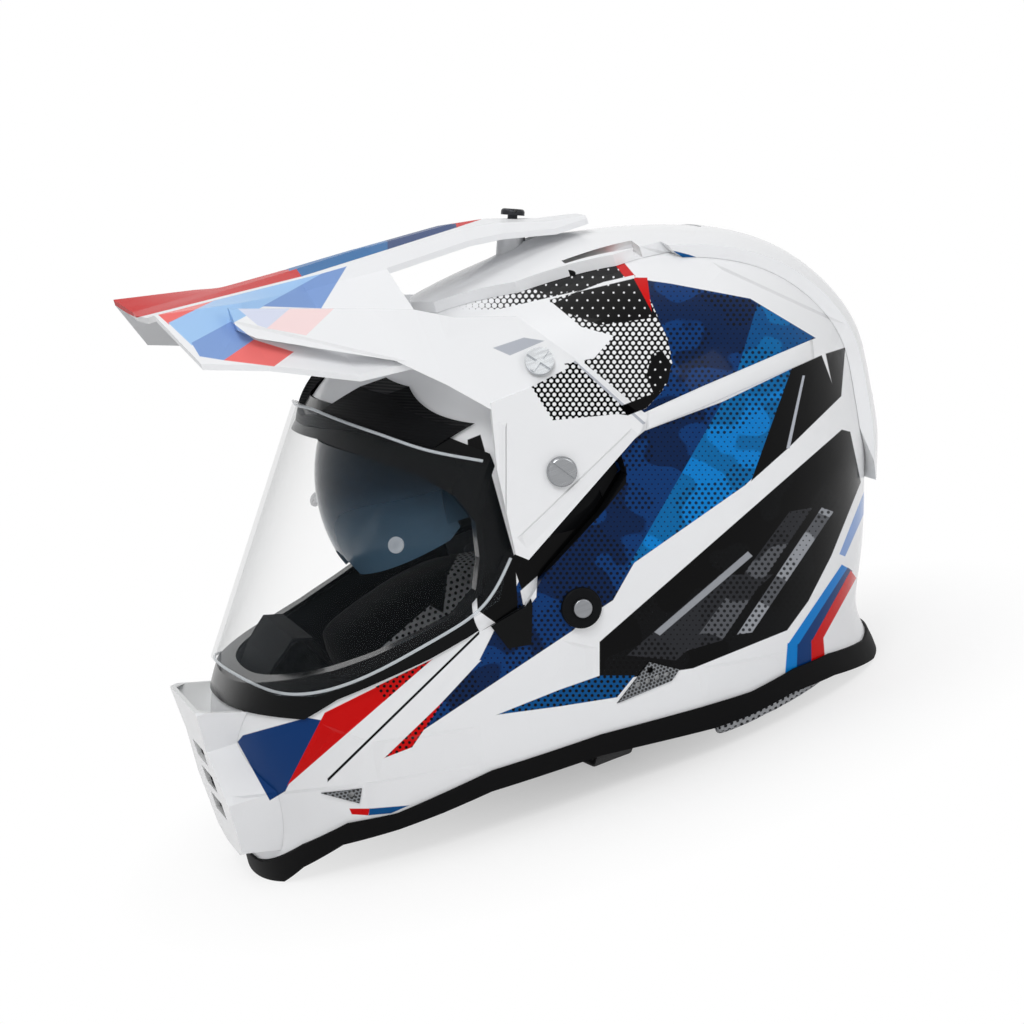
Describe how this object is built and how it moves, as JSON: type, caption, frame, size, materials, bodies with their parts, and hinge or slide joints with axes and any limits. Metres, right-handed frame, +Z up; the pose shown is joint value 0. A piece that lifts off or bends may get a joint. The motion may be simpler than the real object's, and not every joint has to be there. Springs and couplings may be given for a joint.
{
  "type": "dual sport helmet",
  "caption": "Full face dual sport helmet with a chin bar, tilting clear face shield, drop-down sun lens, adjustable peak and a strap with rings.",
  "frame": {"origin": "on the surface that the rim rests on, straight below the hinge axis of the face shield, in the plane of symmetry", "axes": "+Z up from the resting surface, the wearer looks along -Y, +X is the wearer's left"},
  "size_m": [0.2652, 0.3871, 0.2878],
  "materials": {
    "shell_white": "glossy painted thermoplastic with printed bands",
    "peak_white": "glossy painted thermoplastic with printed bands",
    "vent_white": "glossy painted moulding",
    "foam_black": "expanded foam, black",
    "pad_mesh": "perforated mesh cloth over foam",
    "trim_black": "extruded rubber",
    "plastic_black": "satin moulding",
    "lens_clear": "clear polycarbonate",
    "lens_dark": "dark blue tinted polycarbonate",
    "pin_clear": "clear plastic",
    "screw_white": "moulded screw head",
    "grille_silver": "silver grille",
    "steel": "zinc plated steel",
    "webbing_black": "woven webbing"
  },
  "bodies": {
    "helmet": {"outer_shell": "shell_white", "impact_liner": "foam_black", "chin_liner": "foam_black", "crown_pad": "pad_mesh", "cheek_pad_left": "pad_mesh", "cheek_pad_right": "pad_mesh", "neck_roll": "pad_mesh", "rim_trim": "trim_black", "eyeport_gasket": "trim_black", "brow_duct": "plastic_black", "shield_base_left": "plastic_black", "shield_base_right": "plastic_black", "shield_bushes": "plastic_black", "peak_side_screws": "screw_white", "peak_wing_screws": "screw_white", "peak_top_screw": "screw_white", "sun_lens_pivots": "plastic_black", "slider_track": "plastic_black", "chin_vent_cover": "vent_white", "chin_grilles": "grille_silver", "side_grilles": "grille_silver", "crown_vent": "vent_white", "rear_spoiler": "vent_white", "strap_rivets": "steel", "rivet_washers": "trim_black", "strap_anchors": "steel", "strap_left": "webbing_black", "strap_right": "webbing_black", "d_rings": "steel", "breath_guard": "plastic_black"},
    "shield": {"face_shield": "lens_clear", "lens_pins": "pin_clear"},
    "sun_visor": {"sun_lens": "lens_dark"},
    "lens_knob": {"sun_lens_slider": "plastic_black"},
    "peak_body": {"peak": "peak_white"},
    "vent_shutter": {"chin_vent_shutter": "plastic_black"}
  },
  "joints": [
    {"name": "shield_tilt", "type": "hinge", "parent": "helmet", "child": "shield", "pos_m": [0, 0, 0.161], "axis": [-1, 0, 0], "range_deg": [0, 48]},
    {"name": "sun_lens_drop", "type": "hinge", "parent": "helmet", "child": "sun_visor", "pos_m": [0, -0.0171, 0.1525], "axis": [-1, 0, 0], "range_deg": [0, 50]},
    {"name": "knob_slide", "type": "slide", "parent": "helmet", "child": "lens_knob", "axis": [-0.0958, 0.9954, 0], "range_m": [0, 0.02]},
    {"name": "peak_tilt", "type": "hinge", "parent": "helmet", "child": "peak_body", "pos_m": [0, 0, 0.161], "axis": [-1, 0, 0], "range_deg": [-2, 2]},
    {"name": "shutter_slide", "type": "slide", "parent": "helmet", "child": "vent_shutter", "axis": [0, 0, 1], "range_m": [0, 0.005]}
  ],
  "couplings": [
    {"joint": "knob_slide", "follows": "sun_lens_drop", "m_per_rad": 0.0229}
  ]
}
